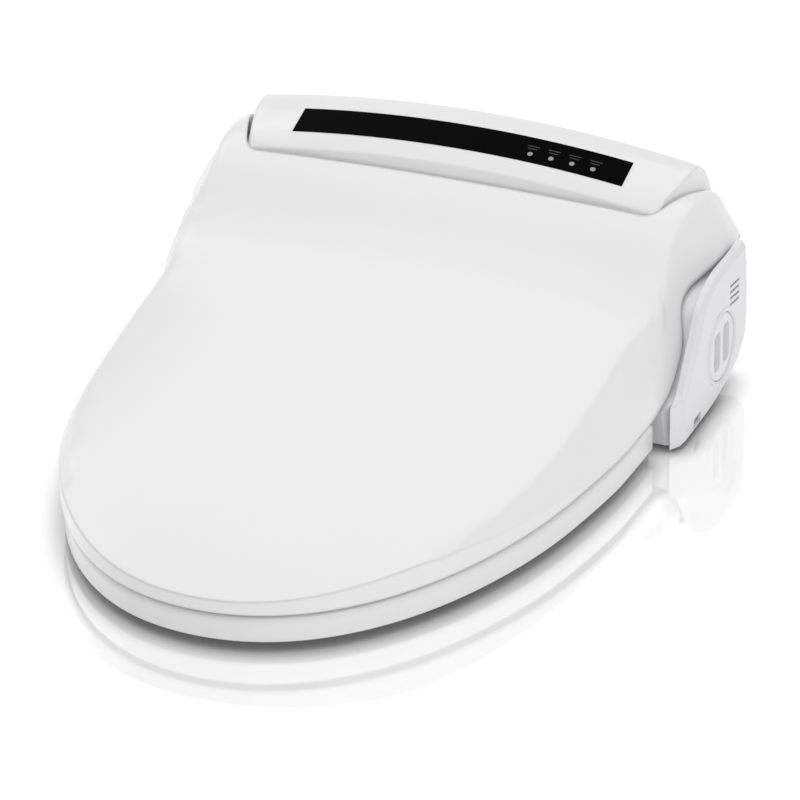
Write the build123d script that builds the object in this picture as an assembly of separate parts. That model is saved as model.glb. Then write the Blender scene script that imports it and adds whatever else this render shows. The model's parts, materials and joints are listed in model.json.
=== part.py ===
"""Electric bidet seat: lid, heated seat ring, body with washing and drying works, one STEP file per node.
Millimetres, +Z up, front of the seat towards -Y, origin under the middle of the whole."""
import math
import os

from build123d import *

# Lid outline: half width of the egg and at the rear, where its front half starts, length and fullness of it
LID_HALF_W, LID_REAR_W = 201.5, 206.5
LID_YC, LID_FRONT_LEN, LID_POWER = 86.0, 352.0, 2.1
LID_REAR = 259.0
LID_WALL = 3.0
# Cross-sections of the lid: station, height in the middle, crown radius, half width at the crease, flank slope
LID_SECTIONS = [(-290, 35, 1300, 136, 1.2), (-236, 46, 1300, 136, 1.2), (-177, 56.6, 1300, 138, 1.25),
                (-149, 61, 1300, 150, 1.35), (-115, 66.2, 1300, 161.5, 1.6), (-75, 72, 1300, 172, 1.85),
                (-28, 78.8, 1300, 176.5, 1.9), (22, 86.2, 1300, 178.5, 1.9), (66, 93, 1340, 178.5, 1.95),
                (92, 97.2, 1420, 179.5, 2.15), (117, 102, 1550, 184.5, 2.6), (135, 108.5, 1850, 186.5, 2.4),
                (152, 117, 2400, 184.5, 1.9), (172, 129.5, 3800, 181, 1.8), (195, 141, 4000, 182, 1.8),
                (215, 144.5, 4000, 183, 1.8), (237, 142.5, 4000, 185, 1.75), (259, 132, 4000, 186, 1.7),
                (280, 118, 4000, 187, 1.7)]
CREASE_SOFT = 1.6
LID_LOW = [(-280, 29.3), (-106, 31.4), (44, 33), (85, 33.5), (100, 36), (117, 42), (128, 51.5), (138, 63.5),
           (146, 77), (154, 88.5), (168, 95.5), (182, 98.2), (246, 99.5), (280, 100)]

# Lid hinge and the barrel that clears the control bar
LID_HY, LID_HZ = 251.0, 117.0
NOTCH_R, NOTCH_X, NOTCH_ROUND = 63.5, 160.0, 16.0
NOTCH_END_R, NOTCH_END_X = 20.0, 180.0
GAP = 2.0
PIN_R, PIN_END, RUN = 4.0, 188.0, 0.05

# Seat ring
SEAT_INSET, SEAT_REAR, SEAT_LOW = 2.0, 86.0, 8.0
SEAT_TOP0, SEAT_SLOPE = 27.0, 0.009
HOLE_Y, HOLE_A, HOLE_B = -65.0, 108.0, 130.0
SEAT_HY, SEAT_HZ = 118.0, 52.0
LUG_X0, LUG_X1 = 98.0, 122.0

# Body
BODY_X, BODY_Y0, BODY_Y1, SPLIT_Z = 190.0, 91.0, 262.0, 40.0
COVER_X = 216.0
CAP_Y, CAP_Z, CAP_R = 185.0, 44.0, 26.0
DECK_Z = LID_HZ + 1
BAR_PROFILE = [(LID_HY + y, LID_HZ + z) for y, z in [
    (-61, 1), (-61, 11), (-57, 23), (-50, 35), (-43.6, 39.2), (-18.4, 46.6), (-5, 48), (6, 46.5), (13, 41),
    (15, 33), (15, 1)]]
BAR_INNER = [(LID_HY + y, LID_HZ + z) for y, z in [
    (-55, -7), (-55, 20), (-47.5, 32.3), (-42.7, 35.8), (-18.4, 43.2), (-5, 44.6), (5, 43.2), (10.6, 38.8),
    (12, 32.5), (12, -7)]]
BAR_CROWN = 840.0
STRIP_X, STRIP_Y0, STRIP_Y1 = 130.0, LID_HY - 43.6, LID_HY - 18.4
LAMP_Y = LID_HY - 35.0
LAMP_X = [55.6, 71.9, 88.2, 104.5]

# Nozzles
NOZ_Y, NOZ_Z, NOZ_SLOPE = 95.0, 13.0, 25.0
NOZ_X, NOZ_R = 11.0, 6.5

# Water inlet
INLET_X, INLET_Z = -150.0, 26.0

# Mounting plate
PLATE_X, PLATE_Y0, PLATE_Y1, POCKET_Z = 85.7, 152.0, 262.0, 14.0
BOLT_X, BOLT_Y, BOLT_R, SLOT_LEN = 70.0, 200.0, 4.25, 24.0


# Simple solids
def block(x0, x1, y0, y1, z0, z1):
    return Pos((x0 + x1) / 2, (y0 + y1) / 2, (z0 + z1) / 2) * Box(x1 - x0, y1 - y0, z1 - z0)


def rod_x(x0, x1, y, z, r):
    return Pos((x0 + x1) / 2, y, z) * Rot(0, 90, 0) * Cylinder(r, x1 - x0)


def rod_y(x, y0, y1, z, r):
    return Pos(x, (y0 + y1) / 2, z) * Rot(90, 0, 0) * Cylinder(r, y1 - y0)


def rod_z(x, y, z0, z1, r):
    return Pos(x, y, (z0 + z1) / 2) * Cylinder(r, z1 - z0)


def prism_x(points, x0, x1):
    return extrude(Plane.YZ.offset(x0) * make_face(Polyline(*points, close=True)), x1 - x0)


def both(shape):
    return shape + mirror(shape, about=Plane.YZ)


def group(shapes):
    return Compound(children=list(shapes))


# Lid surfaces
def egg(inset, rear):
    w, length = LID_HALF_W - inset, LID_FRONT_LEN - inset
    pts = []
    for k in range(-8, 9):
        a = math.radians(k * 90 / 8)
        s, c = math.sin(a), math.cos(a)
        x = w * math.copysign(abs(s) ** (2 / LID_POWER), s)
        pts.append((x, LID_YC - length * abs(c) ** (2 / LID_POWER)))
    flare = (LID_REAR_W - LID_HALF_W) / (LID_REAR - LID_YC)
    front = Spline(*pts, tangents=[(flare, -1), (flare, 1)])
    wide = w + flare * (rear - LID_YC)
    sides = Polyline((w, LID_YC), (wide, rear), (-wide, rear), (-w, LID_YC))
    return make_face([front] + list(sides.edges()))


def lid_height(x, middle, crown, crease, slope):
    arch = middle - x * x / (2 * crown)
    flank = middle - crease * crease / (2 * crown) - slope * (abs(x) - crease)
    return (arch + flank) / 2 - math.hypot((arch - flank) / 2, CREASE_SOFT)


def lid_section(y, middle, crown, crease, slope, wall):
    half = [0.3 * crease, 0.6 * crease, 0.85 * crease, crease - 10, crease - 4, crease, crease + 4, crease + 10,
            crease + 24, 245]
    pts = []
    for x in [-v for v in reversed(half)] + [0] + half:
        z = lid_height(x, middle, crown, crease, slope)
        tilt = (lid_height(x + 0.1, middle, crown, crease, slope) - z) / 0.1
        long = math.hypot(1, tilt)
        pts.append((x + wall * tilt / long, y, z - wall / long))
    floor = -600
    ends = Polyline(pts[-1], (pts[-1][0], y, floor), (pts[0][0], y, floor), pts[0])
    return make_face([Spline(*pts)] + list(ends.edges()))


def under_lid(profile):
    ends = Polyline(profile[-1], (profile[-1][0], -60), (profile[0][0], -60), profile[0])
    return extrude(Plane.YZ.offset(-260) * make_face([Spline(*profile)] + list(ends.edges())), 520)


def lid_block(inset):
    body = extrude(egg(inset, LID_REAR - inset), 200)
    return body & loft([lid_section(*row, inset) for row in LID_SECTIONS])


def barrel(extra):
    r0, r1 = NOTCH_R + extra, NOTCH_END_R + extra
    x0, x1 = NOTCH_X + extra * 0.6, NOTCH_END_X + extra
    pts = [(-x1, 0), (-x1, r1), (-x0, r0), (x0, r0), (x1, r1), (x1, 0)]
    face = make_face(Polyline(*pts, close=True))
    face = fillet([v for v in face.vertices() if v.Y > r0 - 1], NOTCH_ROUND)
    drum = revolve(face, Axis.X, 360).rotate(Axis.X, -90)
    return Pos(0, LID_HY, LID_HZ) * drum


# Lid pieces
def lid_shell():
    outer = lid_block(0) - under_lid(LID_LOW)
    hollow = lid_block(LID_WALL) - barrel(LID_WALL)
    boss = rod_x(NOTCH_END_X + 0.5, LID_REAR_W, LID_HY, LID_HZ, 7.5)
    ledge = block(46, 74, -264, -227, 33, 37) + block(172, 200, 38, 62, 46, 50)
    keep = both(boss + ledge) & outer
    shell = outer - barrel(0) - hollow + keep
    return shell - both(rod_x(NOTCH_END_X - 4, PIN_END, LID_HY, LID_HZ, PIN_R))


def seat_top(y):
    return SEAT_TOP0 + SEAT_SLOPE * (y + 266)


def lid_bumpers():
    front = rod_z(60, -236, seat_top(-230) + 0.3, 33, 6)
    side = rod_z(180, 50, seat_top(56) + 0.3, 46, 5)
    return group([front, side, mirror(front, about=Plane.YZ), mirror(side, about=Plane.YZ)])


def lid_hinge_pins():
    pin = rod_x(141, PIN_END, LID_HY, LID_HZ, PIN_R)
    return group([pin, mirror(pin, about=Plane.YZ)])


# Seat pieces
def seat_block(inset, z0, drop):
    face = egg(SEAT_INSET + inset, 200)
    body = extrude(Pos(0, 0, z0) * face, 60) - block(-230, 230, SEAT_REAR - inset, 240, -10, 120)
    hole = Pos(0, HOLE_Y, 0) * Ellipse(HOLE_A + inset, HOLE_B + inset)
    body = body - extrude(Pos(0, 0, z0 - 1) * hole, 62)
    roof = [(-280, z0 - 1), (-280, seat_top(-280) - drop), (120, seat_top(120) - drop), (120, z0 - 1)]
    return body & prism_x(roof, -230, 230)


def nozzle_recess(extra):
    return block(-72 - extra, 72 + extra, 56 - extra, 100, -5, 22 + extra)


def seat_lug():
    y, z = SEAT_HY, SEAT_HZ
    pts = [(83, 18), (83, 30), (y - 8.5, z + 8.5), (y, z + 12), (y + 8.5, z + 8.5), (y + 12, z),
           (y + 8.5, z - 8.5), (y, z - 12), (y - 6, z - 11), (96, 24), (91, 18)]
    return prism_x(pts, LUG_X0, LUG_X1)


def seat_upper_shell():
    body = seat_block(0, SEAT_LOW, 0)
    rims = [e for e in body.edges() if e.center().Z > SEAT_LOW + 16 and e.length > 200]
    body = fillet(rims, 6)
    body = body - (seat_block(3, SEAT_LOW - 4, 3) - nozzle_recess(3)) - nozzle_recess(0)
    body = body + both(seat_lug())
    return body - both(rod_x(90, 130, SEAT_HY, SEAT_HZ, PIN_R))


def seat_lower_shell():
    plate = seat_block(3, SEAT_LOW, 0) & block(-230, 230, -300, 120, SEAT_LOW, SEAT_LOW + 3)
    return plate - nozzle_recess(3)


def seat_heater():
    return seat_block(12, SEAT_LOW + 4, 3) - seat_block(0, 0, 3.8)


def seat_bumpers():
    spots = [(122, -140), (163, 20), (-122, -140), (-163, 20)]
    return group([rod_z(x, y, 0, SEAT_LOW, 9) for x, y in spots])


def seat_hinge_pins():
    pin = rod_x(91, 134, SEAT_HY, SEAT_HZ, PIN_R)
    return group([pin, mirror(pin, about=Plane.YZ)])


# Body shell pieces
def plan(inset):
    face = Pos(0, (BODY_Y0 + BODY_Y1) / 2) * Rectangle(2 * (BODY_X - inset), BODY_Y1 - BODY_Y0 - 2 * inset)
    front = [v for v in face.vertices() if v.Y < 150]
    rear = [v for v in face.vertices() if v.Y > 150]
    face = fillet(front, 24 - inset)
    rear = [v for v in face.vertices() if v.Y > 250]
    return fillet(rear, 14 - inset)


def filter_hole(extra):
    return rod_x(150, 205, CAP_Y, CAP_Z, 20 + extra)


def inlet_pocket(extra):
    return block(INLET_X - 24 - extra, INLET_X + 24 + extra, 238 - extra, 280, -5, 52 + extra)


def base_chassis():
    tray = extrude(Pos(0, 0, 2) * plan(0), SPLIT_Z - 2)
    low = [e for e in tray.edges() if e.center().Z < 2.1]
    tray = fillet(low, 5)
    inner = extrude(Pos(0, 0, 5) * plan(3), SPLIT_Z)
    pocket = block(-92, 92, 150, 300, 0, POCKET_Z)
    inner = inner - block(-95, 95, 147, 300, 0, POCKET_Z + 3) - inlet_pocket(3)
    tray = tray - inner - inlet_pocket(0)
    lips = both(block(86.2, 92, 150, BODY_Y1, 2, 5))
    tray = tray - pocket + lips
    gate = block(-21, 21, 80, 97, 0, 25) + block(40, 66, 80, 97, 5, 17.4)
    lug_gate = both(block(92.7, 127.3, 80, 97, 17.8, 60))
    heads = both(block(50, 92, BOLT_Y - 12, 300, POCKET_Z - 1, POCKET_Z + 1.5))
    button = block(BODY_X - 4, BODY_X + 3, 127.5, 140.5, 6, 14)
    gland = rod_y(150, 250, 280, 25, 7)
    inlet = rod_y(INLET_X, 232, 245, INLET_Z, 12 + RUN)
    tray = tray - gate - lug_gate - heads - button - gland - inlet - filter_hole(0.5)
    holes = [rod_z(x, y, 0, 60, 2.1) for x, y in SCREWS]
    posts = [rod_z(x, y, 4, SPLIT_Z, 4.5) for x, y in SCREWS]
    sinks = [rod_z(x, y, 0, 7, 4.2) for x, y in SCREWS]
    for post, hole, sink in zip(posts, holes, sinks):
        tray = tray + post - hole - sink
    return tray


SCREWS = [(176, 118), (-176, 118), (172, 246), (-181.6, 230.6), (32, 102), (-32, 102)]
CASE_PROFILE = [(91, 40), (91, 50), (98, 57), (140, 71), (170, 82), (186, 87), (262, 87), (262, 40)]
CASE_INNER = [(94, 30), (94, 49), (99, 54), (140, 68), (170, 79), (186, 84), (259, 84), (259, 30)]


def lug_pocket(extra):
    return block(96 - extra, 124 + extra, 80, 133 + extra, 21 - extra, 100)


def shoulders(inset):
    low, high = BODY_X - inset, BODY_X - 16 - inset
    pts = [(-low, 20), (-low, 42), (-high, 86), (-high, 130), (high, 130), (high, 86), (low, 42), (low, 20)]
    return extrude(Plane.XZ.offset(-300) * make_face(Polyline(*pts, close=True)), 300)


def upper_casing():
    hump = prism_x(CASE_PROFILE, -BODY_X, BODY_X) & extrude(plan(0), 200) & shoulders(0)
    riser = block(-154, 154, LID_HY - 58, BODY_Y1, 80, DECK_Z)
    room = prism_x(CASE_INNER, -BODY_X + 3, BODY_X - 3) & extrude(plan(3), 200) & shoulders(3)
    room = room + block(-151, 151, LID_HY - 55, BODY_Y1 - 3, 70, DECK_Z - 3) - inlet_pocket(3)
    tub = block(93, 127, 94.2, 136, 18, 60) - prism_x(
        [(80, 53), (98, 54), (140, 68), (140, 120), (80, 120)], 90, 130)
    case = hump + riser - room + both(tub)
    case = case - both(lug_pocket(0)) - inlet_pocket(0) - filter_hole(0.5)
    cheek = rod_x(140, 154, LID_HY, LID_HZ, 9) + block(140, 154, LID_HY - 9, LID_HY + 9, 80, LID_HZ)
    case = case + both(cheek)
    for x, y in SCREWS:
        if y > 200:
            case = case + rod_z(x, y, SPLIT_Z, 85, 4.5)
        else:
            case = case + (rod_z(x, y, SPLIT_Z, 62, 4.5) & prism_x(CASE_PROFILE, -BODY_X, BODY_X))
        case = case - rod_z(x, y, 30, 54, 1.6)
    case = case - block(-96, 96, LID_HY - 45, LID_HY + 5, DECK_Z - 8, DECK_Z + 2)
    case = case - block(-140, 140, LID_HY - 11, LID_HY + 8, DECK_Z - 8, DECK_Z + 2)
    case = case - both(rod_x(139, 156, LID_HY, LID_HZ, PIN_R + RUN))
    return case - both(rod_x(92, 128, SEAT_HY, SEAT_HZ, PIN_R + RUN))


def bar_solid(profile, extra):
    face = Plane.YZ * make_face(Polyline(*profile, close=True))
    axis = Axis((0, 0, -BAR_CROWN), (0, 1, 0))
    solid = revolve(face, axis, 30).rotate(axis, -15)
    return solid & barrel(extra)


def strip_prism(grow):
    return block(-STRIP_X - grow, STRIP_X + grow, STRIP_Y0 - grow, STRIP_Y1 + grow, 120, 180)


def bar_above_base(shape):
    return shape & block(-230, 230, LID_HY - 100, LID_HY + 50, DECK_Z, DECK_Z + 80)


def control_bar():
    outer = bar_above_base(bar_solid(BAR_PROFILE, -GAP))
    bar = outer - bar_solid(BAR_INNER, -GAP - 2.5)
    bar = bar - display_window()
    for x in LAMP_X:
        bar = bar - rod_z(x, LAMP_Y, 140, 175, 2)
    return bar - both(rod_x(140, 195, LID_HY, LID_HZ, PIN_R + 0.6))


def display_window():
    outer = bar_above_base(bar_solid(BAR_PROFILE, -GAP))
    plate = (outer & strip_prism(0)) - Pos(0, 0, -1.4) * outer
    for x in LAMP_X:
        plate = plate - rod_z(x, LAMP_Y, 140, 175, 2)
    return plate


def status_lamps():
    outer = bar_above_base(bar_solid(BAR_PROFILE, -GAP))
    return group([(rod_z(x, LAMP_Y, LID_HZ + 33, LID_HZ + 53, 1.98) & outer) for x in LAMP_X])


# Side covers
COVER_TOP = [(101, 30), (107, 35), (117, 38.5), (128, 48), (138, 60), (146, 73.5), (154, 85), (168, 92),
             (190, 94.5), (236, 95.5)]
COVER_LOW = [(240, 88), (241, 70), (241.5, 47), (238, 30), (229, 20), (214, 12), (184, 5), (150, 2.5)]


def cover_face(inset):
    top = [(y + inset * 0.6, z - inset) for y, z in COVER_TOP[:-1]]
    top.append((COVER_TOP[-1][0] - inset, COVER_TOP[-1][1] - inset))
    low = [(y - inset, z + inset * 0.7) for y, z in COVER_LOW]
    rim = [Spline(*top), Line(top[-1], low[0]), Spline(*low, tangents=[(0, -1), (-1, 0)])]
    nose = (top[0][0] + 2, low[-1][1])
    rim += list(Polyline(low[-1], nose, top[0]).edges())
    return make_face(rim)


def cover_blank():
    outer = extrude(Plane.YZ.offset(BODY_X) * cover_face(0), COVER_X - BODY_X)
    slant = [(BODY_X - 5, 92), (BODY_X + 2, 96), (205, 104), (COVER_X, 122), (COVER_X + 9, 150),
             (COVER_X + 9, 60), (BODY_X - 5, 60)]
    face = [e for e in outer.edges() if e.center().X > COVER_X - 0.1]
    outer = chamfer(face, 3) - extrude(Pos(0, 0, -10) * make_face(Polyline(*slant, close=True)), 150)
    inner = extrude(Plane.YZ.offset(BODY_X) * cover_face(3), COVER_X - BODY_X - 3)
    slant = [(x - 1, y + 4) for x, y in slant]
    return outer - (inner - extrude(Pos(0, 0, -10) * make_face(Polyline(*slant, close=True)), 150))


def vent_slots():
    slots = []
    for k in range(4):
        slot = Pos(COVER_X - 4, 212, 68 + 5 * k) * Rot(-8, 0, 0) * Box(12, 20, 2)
        slots.append(slot)
    return slots


def right_side_cover():
    cover = cover_blank()
    ring = rod_x(BODY_X, COVER_X - 1, CAP_Y, CAP_Z, CAP_R + 3) & block(180, 230, 100, 234, 6, 95)
    cover = cover + ring - rod_x(208, 230, CAP_Y, CAP_Z, CAP_R + RUN) - rod_x(BODY_X - 5, 230, CAP_Y, CAP_Z, 20)
    frame = block(BODY_X, COVER_X - 3.5, 125, 143, 3.5, 16)
    cover = cover + frame - block(180, 230, 127, 141, 6.5, 13.5)
    for slot in vent_slots():
        cover = cover - slot
    return cover


def left_side_cover():
    cover = mirror(cover_blank(), about=Plane.YZ)
    boss = rod_x(-COVER_X + 1, -BODY_X, 150, 22, 11)
    return cover + boss - rod_x(-230, -BODY_X + 5, 150, 22, 8)


def drain_plug():
    plug = rod_x(-COVER_X + 0.5, -BODY_X - 1, 150, 22, 8)
    return plug - block(-220, -COVER_X + 3, 144, 156, 21, 23)


def filter_cap():
    cap = rod_x(208, COVER_X, CAP_Y, CAP_Z, CAP_R)
    rim = [e for e in cap.edges() if e.center().X > COVER_X - 0.1]
    cap = chamfer(rim, 1.2)
    finger = block(COVER_X - 4, COVER_X + 5, CAP_Y + 3.5, CAP_Y + 15.5, CAP_Z - 15, CAP_Z + 15)
    finger = fillet(finger.edges().filter_by(Axis.X), 4)
    other = mirror(finger, about=Plane.XZ.offset(-CAP_Y))
    return cap - finger - other + rod_x(203, 208, CAP_Y, CAP_Z, 14)


def filter_cartridge():
    can = rod_x(160, 203, CAP_Y, CAP_Z, 19.5)
    for k in range(3):
        ring = rod_x(166 + 10 * k, 171 + 10 * k, CAP_Y, CAP_Z, 25) - rod_x(160, 203, CAP_Y, CAP_Z, 17.5)
        can = can - ring
    return can


def release_button():
    return block(204, 213.5, 127.3, 140.7, 6.8, 13.2) + block(BODY_X - 2, 204, 131, 137, 8, 12)


# Washing works
SLOPE_PLANE = Plane(origin=(0, NOZ_Y, NOZ_Z), x_dir=(1, 0, 0),
                    z_dir=(0, math.cos(math.radians(NOZ_SLOPE)), math.sin(math.radians(NOZ_SLOPE))))


def nozzle_tube(x):
    tube = Pos(x, 0, 79) * Cylinder(NOZ_R, 142) - Pos(x, 0, 90) * Cylinder(3, 124)
    return SLOPE_PLANE * (tube + Pos(x, 0, 154) * Cylinder(3.6, 8) - Pos(x, 0, 154) * Cylinder(2, 20))


def nozzle_tip(x):
    tip = Pos(x, 0, 2.5) * Cylinder(NOZ_R, 11)
    tip = fillet(tip.edges().sort_by(Axis.Z)[0], 4)
    return SLOPE_PLANE * (tip - Pos(x, -4, 2) * Rot(90, 0, 0) * Cylinder(1, 12))


def nozzle_guide():
    cradle = Pos(0, 0, 55) * Box(48, 20, 90)
    for x in (-NOZ_X, NOZ_X):
        cradle = cradle - Pos(x, 0, 55) * Cylinder(NOZ_R + RUN, 120)
    guide = SLOPE_PLANE * cradle
    legs = block(-24, 24, 106, 112, 5, 14) + both(block(16, 24, 166, 176, POCKET_Z + 3, 44))
    return guide + (legs - SLOPE_PLANE * (Pos(0, 0, 55) * Box(44, 16, 140)))


def nozzle_motor():
    seat = SLOPE_PLANE * (Pos(33, -2, 70) * Box(18, 18, 30))
    can = SLOPE_PLANE * (Pos(33, -2, 94) * Cylinder(8, 18))
    return seat + can


def water_tank():
    tank = block(-180, -98, 142, 224, 5, 58)
    tank = fillet(tank.edges().filter_by(Axis.Z), 10)
    tank = tank + rod_z(-150, 184, 58, 66, 16) + rod_y(-110, 224, 236, 40, 5)
    return tank - rod_y(-110, 218, 240, 40, 3)


def solenoid_valve():
    body = block(-121, -97, 238, 257, 5, 30)
    return body + rod_z(-109, 247.5, 30, 52, 8)


def water_pump():
    pump = block(-80, -38, 214, 246, 17, 30)
    return pump + rod_x(-82, -36, 230, 40, 14)


def flow_selector():
    body = rod_x(-84, -46, 180, 33, 14) + block(-82, -48, 172, 188, 17, 24)
    return body + rod_z(-72, 180, 40, 56, 4) + rod_z(-60, 180, 40, 56, 4)


def power_supply():
    box = block(34, 92, 214, 250, 17, 58)
    return fillet(box.edges().filter_by(Axis.Z), 3)


def control_board():
    return block(-100, 100, LID_HY - 49, LID_HY + 3, DECK_Z, DECK_Z + 2) + both(
        block(60, 66, LID_HY - 41, LID_HY - 35, DECK_Z + 2, DECK_Z + 9))


# Drying works
BLOW_X0, BLOW_X1, BLOW_Y, BLOW_Z, BLOW_R = 104.0, 140.0, 190.0, 44.0, 38.0


def blower_housing():
    shell = rod_x(BLOW_X0, BLOW_X1, BLOW_Y, BLOW_Z, BLOW_R) + block(BLOW_X0, BLOW_X1, 150, BLOW_Y, 6, 32)
    room = rod_x(BLOW_X0 + 2, BLOW_X1 - 2, BLOW_Y, BLOW_Z, BLOW_R - 2)
    room = room + block(BLOW_X0 + 2, BLOW_X1 - 2, 140, BLOW_Y, 8, 30)
    foot = block(BLOW_X0, BLOW_X1, 182, 198, 5, 8)
    shell = shell + foot - room - rod_x(90, BLOW_X0 + 3, BLOW_Y, BLOW_Z, 18)
    return shell - rod_x(BLOW_X1 - 4, BLOW_X1 + 2, BLOW_Y, BLOW_Z, 3.5)


def blower_impeller():
    hub = rod_x(BLOW_X1 - 9, BLOW_X1 - 6, BLOW_Y, BLOW_Z, 33)
    hub = hub + rod_x(BLOW_X1 - 22, BLOW_X1 - 9, BLOW_Y, BLOW_Z, 8)
    for k in range(12):
        blade = Pos(0, 0, 29) * Box(18, 1.5, 8)
        blade = Pos(BLOW_X1 - 17, BLOW_Y, BLOW_Z) * Rot(30 * k, 0, 0) * blade
        hub = hub + blade
    return hub - rod_x(BLOW_X1 - 30, BLOW_X1, BLOW_Y, BLOW_Z, 3 + RUN)


def blower_motor():
    can = rod_x(BLOW_X1, BLOW_X1 + 17, BLOW_Y, BLOW_Z, 15)
    return can + rod_x(BLOW_X1 - 20, BLOW_X1, BLOW_Y, BLOW_Z, 3)


def dryer_duct():
    path = [(104, 150), (140, 150), (140, 138), (66, 99), (66, 92), (40, 92), (40, 112)]
    duct = extrude(Pos(0, 0, 5) * make_face(Polyline(*path, close=True)), 12.4)
    path = [(106, 152), (138, 152), (138, 139), (64, 100), (64, 90), (42, 90), (42, 111), (106, 149)]
    return duct - extrude(Pos(0, 0, 7) * make_face(Polyline(*path, close=True)), 8.4)


# Connections and fixings
def water_inlet():
    nipple = rod_y(INLET_X, 240, BODY_Y1, INLET_Z, 10.4775) + rod_y(INLET_X, 238, 240, INLET_Z, 9.6)
    nipple = nipple + rod_y(INLET_X, 235, 238, INLET_Z, 12) + rod_y(INLET_X, 229, 235, INLET_Z, 15)
    return nipple - rod_y(INLET_X, 220, 270, INLET_Z, 6)


def cord_gland():
    gland = rod_y(150, 252, 264, 25, 6.9) + rod_y(150, 262, 266, 25, 10)
    return gland - rod_y(150, 240, 270, 25, 3.5)


def base_feet():
    spots = [(172, 140), (-172, 140), (165, 225), (-118, 222)]
    return group([rod_z(x, y, 0, 2, 9) for x, y in spots])


def case_screws():
    screws = []
    for x, y in SCREWS:
        screw = rod_z(x, y, 3.6, 7, 3.8) + rod_z(x, y, 7, 52, 1.6)
        screws.append(screw - block(x - 3, x + 3, y - 0.5, y + 0.5, 3, 5))
    return group(screws)


def lid_dampers():
    can = rod_x(104, 140, LID_HY, LID_HZ + 0, 8) - rod_x(138, 142, LID_HY, LID_HZ, PIN_R + 0.5)
    return group([can, mirror(can, about=Plane.YZ)])


def seat_dampers():
    can = rod_x(127, 152, SEAT_HY, SEAT_HZ, 7) - rod_x(126, 136, SEAT_HY, SEAT_HZ, PIN_R + 0.5)
    return group([can, mirror(can, about=Plane.YZ)])


def mounting_plate():
    plate = block(-PLATE_X, PLATE_X, PLATE_Y0, PLATE_Y1, 0, 5.3)
    plate = plate + block(-91.5, 91.5, PLATE_Y0, PLATE_Y1, 5.3, 11)
    slot = extrude(Pos(BOLT_X, BOLT_Y, -1) * SlotOverall(SLOT_LEN, 2 * BOLT_R), 20)
    relief = block(46, 94, BOLT_Y - 12, BOLT_Y + 12, 7, 20)
    return plate - both(slot) - both(relief)


NODES = {
    "lid_shell": lid_shell, "lid_bumpers": lid_bumpers, "lid_hinge_pins": lid_hinge_pins,
    "seat_upper_shell": seat_upper_shell, "seat_lower_shell": seat_lower_shell, "seat_heater": seat_heater,
    "seat_bumpers": seat_bumpers, "seat_hinge_pins": seat_hinge_pins,
    "base_chassis": base_chassis, "upper_casing": upper_casing, "control_bar": control_bar,
    "display_window": display_window, "status_lamps": status_lamps,
    "right_side_cover": right_side_cover, "left_side_cover": left_side_cover, "drain_plug": drain_plug,
    "filter_cap": filter_cap, "filter_cartridge": filter_cartridge, "release_button": release_button,
    "nozzle_guide": nozzle_guide, "nozzle_motor": nozzle_motor,
    "rear_nozzle_tube": lambda: nozzle_tube(-NOZ_X), "rear_nozzle_tip": lambda: nozzle_tip(-NOZ_X),
    "front_nozzle_tube": lambda: nozzle_tube(NOZ_X), "front_nozzle_tip": lambda: nozzle_tip(NOZ_X),
    "water_tank": water_tank, "solenoid_valve": solenoid_valve, "water_pump": water_pump,
    "flow_selector": flow_selector, "power_supply": power_supply, "control_board": control_board,
    "blower_housing": blower_housing, "blower_impeller": blower_impeller, "blower_motor": blower_motor,
    "dryer_duct": dryer_duct, "water_inlet": water_inlet, "cord_gland": cord_gland,
    "base_feet": base_feet, "case_screws": case_screws, "lid_dampers": lid_dampers,
    "seat_dampers": seat_dampers, "mounting_plate": mounting_plate,
}

os.makedirs("parts", exist_ok=True)
for name, make in NODES.items():
    export_step(make(), f"parts/{name}.step")
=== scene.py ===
"""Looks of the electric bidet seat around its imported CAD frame.

Materials, reshaped covers and control bar, small trim, light, floor and camera. Lengths are in metres.
"""

import json
import math

import bmesh
import bpy
from mathutils import Matrix, Vector


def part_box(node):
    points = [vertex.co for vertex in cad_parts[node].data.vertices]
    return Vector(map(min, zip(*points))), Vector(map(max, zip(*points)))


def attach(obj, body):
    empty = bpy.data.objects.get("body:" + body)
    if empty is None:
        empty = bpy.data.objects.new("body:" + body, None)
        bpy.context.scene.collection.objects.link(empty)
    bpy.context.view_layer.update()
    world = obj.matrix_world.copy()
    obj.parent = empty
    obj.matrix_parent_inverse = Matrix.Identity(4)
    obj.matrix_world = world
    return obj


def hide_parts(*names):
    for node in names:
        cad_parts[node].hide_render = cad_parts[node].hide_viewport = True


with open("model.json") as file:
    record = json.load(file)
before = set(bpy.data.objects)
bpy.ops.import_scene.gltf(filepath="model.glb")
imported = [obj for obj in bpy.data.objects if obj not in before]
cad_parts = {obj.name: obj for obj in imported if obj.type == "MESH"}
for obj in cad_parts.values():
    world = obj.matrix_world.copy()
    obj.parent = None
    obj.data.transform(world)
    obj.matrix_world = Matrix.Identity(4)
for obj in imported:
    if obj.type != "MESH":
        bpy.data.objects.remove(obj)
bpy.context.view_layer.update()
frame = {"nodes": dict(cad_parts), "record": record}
NODES = frame["nodes"]

# Camera of the photograph: angles in degrees, focal length in image widths
CAM_AZ, CAM_EL, CAM_ROLL = 23.1, 28.75, -1.07
CAM_TARGET = Vector((0.0438, -0.006, 0.0643))
CAM_DIST, CAM_FOCAL = 3.697, 6.571
CAM_NEAR, CAM_FAR = 0.1, 60.0
SENSOR = 36.0

# Colours, linear
WHITE_LID = (0.86, 0.86, 0.86)
WHITE_SEAT = (0.83, 0.83, 0.83)
WHITE_BODY = (0.80, 0.80, 0.82)
BLACK_GLASS = (0.0012, 0.0012, 0.0014)
DASH_GREY = (0.02, 0.02, 0.02)
FLOOR_GREY = (0.24, 0.24, 0.24)


# Shader helpers
def new_material(name):
    mat = bpy.data.materials.new(name)
    mat.use_nodes = True
    tree = mat.node_tree
    return mat, tree, tree.nodes["Principled BSDF"]


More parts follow.
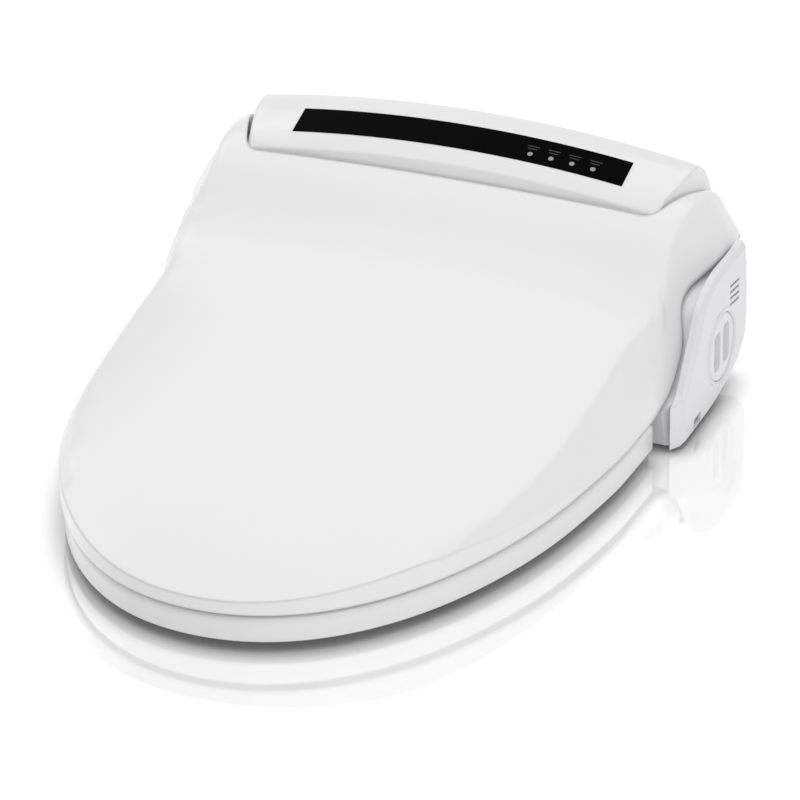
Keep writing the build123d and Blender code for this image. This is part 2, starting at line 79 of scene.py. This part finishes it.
def add(tree, kind, **inputs):
    node = tree.nodes.new(kind)
    for key, value in inputs.items():
        node.inputs[key.replace("_", " ")].default_value = value
    return node


def noise(tree, scale, detail=3.0):
    place = tree.nodes.get("place") or tree.nodes.new("ShaderNodeTexCoord")
    place.name = "place"
    tex = add(tree, "ShaderNodeTexNoise", Scale=scale, Detail=detail)
    tree.links.new(place.outputs["Object"], tex.inputs["Vector"])
    return tex.outputs["Fac"]


def spread(tree, source, low, high, start=0.0):
    node = add(tree, "ShaderNodeMapRange", From_Min=start, To_Min=low, To_Max=high)
    tree.links.new(source, node.inputs["Value"])
    return node.outputs["Result"]


def mottle(tree, shader, color, amount, scale):
    shades = tree.nodes.new("ShaderNodeValToRGB")
    dark = [c * (1 - amount) for c in color]
    light = [min(1.0, c * (1 + amount)) for c in color]
    shades.color_ramp.elements[0].color = (*dark, 1)
    shades.color_ramp.elements[1].color = (*light, 1)
    tree.links.new(noise(tree, scale), shades.inputs["Fac"])
    tree.links.new(shades.outputs["Color"], shader.inputs["Base Color"])


def relief(tree, shader, height, strength, depth, edge):
    bevel = add(tree, "ShaderNodeBevel", Radius=edge)
    bevel.samples = 6
    bump = add(tree, "ShaderNodeBump", Strength=strength, Distance=depth)
    tree.links.new(bevel.outputs["Normal"], bump.inputs["Normal"])
    tree.links.new(height, bump.inputs["Height"])
    tree.links.new(bump.outputs["Normal"], shader.inputs["Normal"])


# Moulded plastic with a faint orange peel and uneven gloss
def plastic(name, color, rough, grain=220.0, depth=0.00012, edge=0.0012, coat=0.25):
    mat, tree, shader = new_material(name)
    mottle(tree, shader, color, amount=0.012, scale=9.0)
    low, high = max(0.03, rough - 0.04), rough + 0.05
    tree.links.new(spread(tree, noise(tree, scale=35.0), low, high), shader.inputs["Roughness"])
    shader.inputs["Coat Weight"].default_value = coat
    shader.inputs["Coat Roughness"].default_value = 0.08
    relief(tree, shader, noise(tree, grain, detail=2.0), strength=0.05, depth=depth, edge=edge)
    return mat


# Metal drawn along one axis
def metal(name, color, rough, stretch=(8.0, 400.0, 400.0), edge=0.0005):
    mat, tree, shader = new_material(name)
    place = tree.nodes.new("ShaderNodeTexCoord")
    squeeze = add(tree, "ShaderNodeMapping", Scale=stretch)
    lines = add(tree, "ShaderNodeTexNoise", Scale=1.0, Detail=4.0)
    tree.links.new(place.outputs["Object"], squeeze.inputs["Vector"])
    tree.links.new(squeeze.outputs["Vector"], lines.inputs["Vector"])
    mottle(tree, shader, color, amount=0.06, scale=30.0)
    gloss = spread(tree, lines.outputs["Fac"], rough - 0.1, rough + 0.12)
    tree.links.new(gloss, shader.inputs["Roughness"])
    shader.inputs["Metallic"].default_value = 1.0
    relief(tree, shader, lines.outputs["Fac"], strength=0.15, depth=0.0002, edge=edge)
    return mat


# Rubber with a dusty, open surface
def rubber(name, color):
    mat, tree, shader = new_material(name)
    mottle(tree, shader, color, amount=0.08, scale=60.0)
    gloss = spread(tree, noise(tree, scale=90.0), low=0.55, high=0.8)
    tree.links.new(gloss, shader.inputs["Roughness"])
    relief(tree, shader, noise(tree, scale=900.0, detail=5.0), strength=0.2, depth=0.0003, edge=0.0008)
    return mat


# Circuit board with fine tracks
def board(name):
    mat, tree, shader = new_material(name)
    place = tree.nodes.new("ShaderNodeTexCoord")
    tracks = add(tree, "ShaderNodeTexBrick", Scale=90.0, Color1=(0.012, 0.11, 0.035, 1),
                 Color2=(0.015, 0.14, 0.045, 1), Mortar=(0.09, 0.28, 0.11, 1))
    tree.links.new(place.outputs["Object"], tracks.inputs["Vector"])
    tree.links.new(tracks.outputs["Color"], shader.inputs["Base Color"])
    shader.inputs["Roughness"].default_value = 0.35
    relief(tree, shader, tracks.outputs["Fac"], strength=0.2, depth=0.0002, edge=0.0003)
    return mat


# Smoked acrylic of the display strip, with a weak, even gloss
def glass_black(name):
    mat = plastic(name, BLACK_GLASS, 0.2, grain=140.0, depth=0.00005, edge=0.0004, coat=0.0)
    mat.node_tree.nodes["Principled BSDF"].inputs["Specular IOR Level"].default_value = 0.01
    return mat


# Lamps: a dull lens that glows a little
def lens(name, color):
    mat = plastic(name, color, 0.3, grain=500.0, depth=0.0001, edge=0.0003)
    shader = mat.node_tree.nodes["Principled BSDF"]
    shader.inputs["Emission Color"].default_value = (*color, 1)
    shader.inputs["Emission Strength"].default_value = 0.15
    return mat


# One finish for each material slot of the record
LOOKS = {
    "white_shell": plastic("white_shell", WHITE_LID, 0.18, edge=0.004),
    "white_seat": plastic("white_seat", WHITE_SEAT, 0.18, edge=0.0015),
    "white_body": plastic("white_body", WHITE_BODY, 0.24, edge=0.0012),
    "black_window": glass_black("black_window"),
    "grey_lamp": lens("grey_lamp", (0.22, 0.22, 0.23)),
    "grey_rubber": rubber("grey_rubber", (0.30, 0.30, 0.31)),
    "steel": metal("steel", (0.62, 0.62, 0.63), 0.28),
    "grey_plastic": plastic("grey_plastic", (0.34, 0.35, 0.36), 0.42, grain=300.0, depth=0.0002),
    "nozzle_plastic": metal("nozzle_plastic", (0.7, 0.7, 0.71), 0.2),
    "nozzle_tip": plastic("nozzle_tip", (0.78, 0.78, 0.78), 0.22, grain=400.0),
    "heater_foil": metal("heater_foil", (0.75, 0.75, 0.76), 0.3, stretch=(60.0, 60.0, 60.0)),
    "tank_plastic": plastic("tank_plastic", (0.68, 0.66, 0.6), 0.45, grain=160.0, depth=0.0003),
    "motor_metal": metal("motor_metal", (0.55, 0.55, 0.56), 0.35),
    "board_green": board("board_green"),
    "supply_case": plastic("supply_case", (0.02, 0.02, 0.022), 0.5, grain=300.0, depth=0.0003),
    "filter_black": rubber("filter_black", (0.015, 0.015, 0.016)),
    "inlet_brass": metal("inlet_brass", (0.72, 0.52, 0.2), 0.3),
}
for part in frame["record"]["subparts"]:
    part_mesh = NODES[part["node"]].data
    part_mesh.materials.clear()
    part_mesh.materials.append(LOOKS[part["material_slot"]])


# Mesh helpers
WELD, CUT_NEAR, SHARP_ANGLE = 0.000002, 0.000001, math.radians(25)


def build_mesh(name, verts, faces, material):
    mesh = bpy.data.meshes.new(name)
    mesh.from_pydata(verts, [], faces)
    mesh.materials.append(material)
    return mesh


def link_mesh(name, mesh):
    piece = bpy.data.objects.new(name, mesh)
    bpy.context.collection.objects.link(piece)
    return piece


def share_of(value, start, end):
    return min(1.0, max(0.0, (value - start) / (end - start)))


def ease(value, start, end):
    share = share_of(value, start, end)
    return share * share * (3 - 2 * share)


# A copy of a node's mesh, cut along planes and with its points moved, stands for that node
def reshape(node, name, cuts, move):
    mesh = NODES[node].data.copy()
    for layer in [layer.name for layer in mesh.attributes if layer.name == "custom_normal"]:
        mesh.attributes.remove(mesh.attributes[layer])
    work = bmesh.new()
    work.from_mesh(mesh)
    bmesh.ops.remove_doubles(work, verts=work.verts[:], dist=WELD)
    for axis, place in cuts:
        geometry = work.verts[:] + work.edges[:] + work.faces[:]
        bmesh.ops.bisect_plane(work, geom=geometry, dist=CUT_NEAR, plane_co=axis * place, plane_no=axis)
    for vert in work.verts:
        vert.co = move(vert.co)
    work.to_mesh(mesh)
    work.free()
    mesh.set_sharp_from_angle(angle=SHARP_ANGLE)
    piece = link_mesh(name, mesh)
    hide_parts(node)
    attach(piece, "body")


# Left cover: its face leans in between two heights, and keeps a share of its depth above them
LEAN_LOW, LEAN_HIGH, LEAN_KEEP = 0.024, 0.058, 0.35


def lean_left_cover():
    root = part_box("left_side_cover")[1][0]

    def move(point):
        rise = share_of(point.z, LEAN_LOW, LEAN_HIGH)
        return Vector((root + (point.x - root) * (1 - rise * (1 - LEAN_KEEP)), point.y, point.z))

    up = Vector((0, 0, 1))
    reshape("left_side_cover", "leaning_left_cover", [(up, LEAN_LOW), (up, LEAN_HIGH)], move)


# Right cover: outside the lid's edge its rim stands up and forward as a lip, between two cuts
LIP_CUTS, LIP_CUT_SLACK = (0.2076, 0.2081), 0.00005
LIP_UP, LIP_FORWARD, LIP_DEEP = 0.010, 0.012, 0.0075
LIP_RISES, LIP_FADES = (0.034, 0.085), (0.130, 0.170)
COVER_FRONT = 0.1235
COVER_TOP = [(0.101, 0.030), (0.107, 0.035), (0.117, 0.0385), (0.128, 0.048), (0.138, 0.060),
             (0.146, 0.0735), (0.154, 0.085), (0.168, 0.092), (0.182, 0.0945), (0.240, 0.0955)]


def cover_top(y):
    for (y0, z0), (y1, z1) in zip(COVER_TOP, COVER_TOP[1:]):
        if y <= y1:
            return z0 + (z1 - z0) * max(0.0, y - y0) / (y1 - y0)
    return COVER_TOP[-1][1]


def raise_right_lip():
    def move(point):
        on_rim = point.z > cover_top(point.y) - LIP_DEEP or point.y < COVER_FRONT
        if point.x < LIP_CUTS[1] - LIP_CUT_SLACK or not on_rim:
            return point
        forward = LIP_FORWARD * (1 - ease(point.y, *LIP_FADES))
        up = LIP_UP * ease(point.z, *LIP_RISES)
        return Vector((point.x, point.y - forward, point.z + up))

    side = Vector((1, 0, 0))
    reshape("right_side_cover", "lipped_right_cover", [(side, x) for x in LIP_CUTS], move)


# Control bar: the edge between its top and front sits lower, still inside the path of the lid's edge.
# Its profile points are (y, z) at the middle of the crown.
CROWN = 0.840
BAR_FOOT, BAR_EDGE, BAR_TOP = (0.194, 0.140), (0.201, 0.152), (0.2074, 0.1562)
LOW_EDGE = (0.1964, 0.1474)
BAR_FACES = [((BAR_FOOT, BAR_EDGE), (BAR_FOOT, LOW_EDGE)), ((BAR_EDGE, BAR_TOP), (LOW_EDGE, BAR_TOP))]
FACE_NEAR, FACE_SLACK = 0.0003, 0.01


def height_at(x, height):
    return math.sqrt((CROWN + height) ** 2 - x ** 2) - CROWN


def along(point, start, end):
    run, rise = end[0] - start[0], end[1] - start[1]
    ahead, above = point[0] - start[0], point[1] - start[1]
    share = (ahead * run + above * rise) / (run * run + rise * rise)
    off = math.hypot(ahead - share * run, above - share * rise)
    return share if off < FACE_NEAR and -FACE_SLACK < share < 1 + FACE_SLACK else None


def lower_bar_edge():
    def move(point):
        height = math.hypot(CROWN + point.z, point.x) - CROWN
        for old, (low, high) in BAR_FACES:
            share = along((point.y, height), *old)
            if share is not None:
                y, z = (a + share * (b - a) for a, b in zip(low, high))
                return Vector((point.x, y, height_at(point.x, z)))
        return point

    reshape("control_bar", "edged_control_bar", [], move)


# Bead around the filter cap
BEAD_AT, BEAD_RING, BEAD_HALF = (0.2158, 0.185, 0.044), 0.0285, 0.0013
BEAD_AROUND, BEAD_ACROSS = 72, 10


def bead_round_cap():
    verts, faces = [], []
    for i in range(BEAD_AROUND):
        a = 2 * math.pi * i / BEAD_AROUND
        here, ahead = i * BEAD_ACROSS, (i + 1) % BEAD_AROUND * BEAD_ACROSS
        for j in range(BEAD_ACROSS):
            b = 2 * math.pi * j / BEAD_ACROSS
            reach = BEAD_RING + BEAD_HALF * math.cos(b)
            verts.append((BEAD_AT[0] + BEAD_HALF * math.sin(b), BEAD_AT[1] + reach * math.cos(a),
                          BEAD_AT[2] + reach * math.sin(a)))
            beside = (j + 1) % BEAD_ACROSS
            faces.append((here + j, here + beside, ahead + beside, ahead + j))
    mesh = build_mesh("cap_bead", verts, faces, LOOKS["white_body"])
    mesh.shade_smooth()
    bead = link_mesh("cap_bead", mesh)
    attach(bead, "body")


# Printed dashes above the lamps, laid on the crowned top of the display strip.
# Each row has its y and half a dash's length.
LAMP_X = [0.0556, 0.0719, 0.0882, 0.1045]
STRIP_Y, STRIP_Z, STRIP_RISE = 0.2074, 0.1562, 0.2937
DASH_ROWS = [(0.2212, 0.0036), (0.2238, 0.0046)]
DASH_HALF, DASH_SUNK, DASH_PROUD = 0.0003, -0.0001, 0.00004


def strip_point(x, y, lift):
    return Vector((x, y, height_at(x, STRIP_Z + STRIP_RISE * (y - STRIP_Y)) + lift))


def print_dashes():
    verts, faces = [], []
    for x in LAMP_X:
        for y, half in DASH_ROWS:
            steps = (-half, -half / 3, half / 3, half)
            first, level = len(verts), 2 * len(steps)
            for lift in (DASH_SUNK, DASH_PROUD):
                for dx in steps:
                    verts += [strip_point(x + dx, y + dy, lift) for dy in (-DASH_HALF, DASH_HALF)]
            for a in range(first, first + level - 2, 2):
                b = a + level
                faces += [(a, a + 1, a + 3, a + 2), (b, b + 2, b + 3, b + 1)]
                faces += [(a, a + 2, b + 2, b), (a + 1, b + 1, b + 3, a + 3)]
            a, b, last = first, first + level, level - 2
            faces += [(a, b, b + 1, a + 1), (a + last, a + last + 1, b + last + 1, b + last)]
    ink = plastic("lamp_marks", DASH_GREY, 0.5, grain=500.0, depth=0.00003, edge=0.0001, coat=0.0)
    marks = link_mesh("lamp_marks", build_mesh("lamp_marks", verts, faces, ink))
    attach(marks, "body")


lean_left_cover()
raise_right_lip()
lower_bar_edge()
bead_round_cap()
print_dashes()


def place_camera():
    az, el, roll = (math.radians(v) for v in (CAM_AZ, CAM_EL, CAM_ROLL))
    back = Vector((math.sin(az) * math.cos(el), -math.cos(az) * math.cos(el), math.sin(el)))
    level = Vector((math.cos(az), math.sin(az), 0))
    upright = back.cross(level)
    right = level * math.cos(roll) + upright * math.sin(roll)
    up = upright * math.cos(roll) - level * math.sin(roll)
    data = bpy.data.cameras.new("camera")
    data.sensor_width, data.lens = SENSOR, CAM_FOCAL * SENSOR
    data.clip_start, data.clip_end = CAM_NEAR, CAM_FAR
    cam = bpy.data.objects.new("camera", data)
    turn = Matrix((right, up, back)).transposed().to_4x4()
    cam.matrix_world = Matrix.Translation(CAM_TARGET + back * CAM_DIST) @ turn
    bpy.context.collection.objects.link(cam)
    bpy.context.scene.camera = cam


# Softboxes: name, place, size and watts. They are large, so that their mirror images don't clip.
LIGHT_AIM = Vector((0, 0, 0.08))
SOFTBOXES = [
    ("overhead", (-0.2, 0.6, 2.1), 3.0, 23),
    ("left", (-2.2, 0.4, 1.3), 2.2, 8.5),
    ("right", (2.0, -0.6, 1.3), 2.0, 6.5),
    ("front", (0.9, -1.4, 2.0), 2.0, 12.5),
]


def light_studio():
    for name, spot, size, watts in SOFTBOXES:
        data = bpy.data.lights.new(name, "AREA")
        data.shape, data.size, data.energy = "SQUARE", size, watts
        lamp = bpy.data.objects.new(name, data)
        lamp.location = spot
        lamp.rotation_euler = (LIGHT_AIM - Vector(spot)).to_track_quat("-Z", "Y").to_euler()
        bpy.context.collection.objects.link(lamp)


# Sky light, and a plain white backdrop for the camera, mirrors and glass
WHITE = (1, 1, 1, 1)
SKY_STRENGTH, BACKDROP_STRENGTH = 0.38, 1.0


def make_world():
    world = bpy.data.worlds.new("studio")
    world.use_nodes = True
    bpy.context.scene.world = world
    tree = world.node_tree
    sky = tree.nodes["Background"]
    sky.inputs["Color"].default_value = WHITE
    sky.inputs["Strength"].default_value = SKY_STRENGTH
    backdrop = add(tree, "ShaderNodeBackground", Color=WHITE, Strength=BACKDROP_STRENGTH)
    path = tree.nodes.new("ShaderNodeLightPath")
    seen = path.outputs["Is Camera Ray"]
    for ray in ("Is Glossy Ray", "Is Transmission Ray"):
        either = tree.nodes.new("ShaderNodeMath")
        either.operation = "MAXIMUM"
        tree.links.new(seen, either.inputs[0])
        tree.links.new(path.outputs[ray], either.inputs[1])
        seen = either.outputs["Value"]
    mix = tree.nodes.new("ShaderNodeMixShader")
    tree.links.new(seen, mix.inputs["Fac"])
    tree.links.new(sky.outputs["Background"], mix.inputs[1])
    tree.links.new(backdrop.outputs["Background"], mix.inputs[2])
    tree.links.new(mix.outputs["Shader"], tree.nodes["World Output"].inputs["Surface"])


# Glossy white floor: its glow goes out near the object, which leaves a contact shadow
FLOOR_HALF, FLOOR_Z = 12.0, -0.0006
FLOOR_ROUGH, FLOOR_IOR, FLOOR_GLOW = 0.06, 3.5, 0.555
SHADOW_REACH, SHADOW_FULL, SHADOW_SAMPLES = 0.02, 0.42, 8


def lay_floor():
    mat, tree, shader = new_material("floor")
    mottle(tree, shader, FLOOR_GREY, amount=0.01, scale=3.0)
    shader.inputs["Roughness"].default_value = FLOOR_ROUGH
    shader.inputs["IOR"].default_value = FLOOR_IOR
    shader.inputs["Emission Color"].default_value = WHITE
    near = add(tree, "ShaderNodeAmbientOcclusion", Distance=SHADOW_REACH)
    near.samples = SHADOW_SAMPLES
    glow = spread(tree, near.outputs["AO"], 0.0, FLOOR_GLOW, SHADOW_FULL)
    tree.links.new(glow, shader.inputs["Emission Strength"])
    corners = [(x * FLOOR_HALF, y * FLOOR_HALF, FLOOR_Z) for x, y in ((-1, -1), (1, -1), (1, 1), (-1, 1))]
    floor = link_mesh("floor", build_mesh("floor", corners, [(0, 1, 2, 3)], mat))


place_camera()
light_studio()
make_world()
lay_floor()
bpy.context.scene.view_settings.view_transform = "Standard"
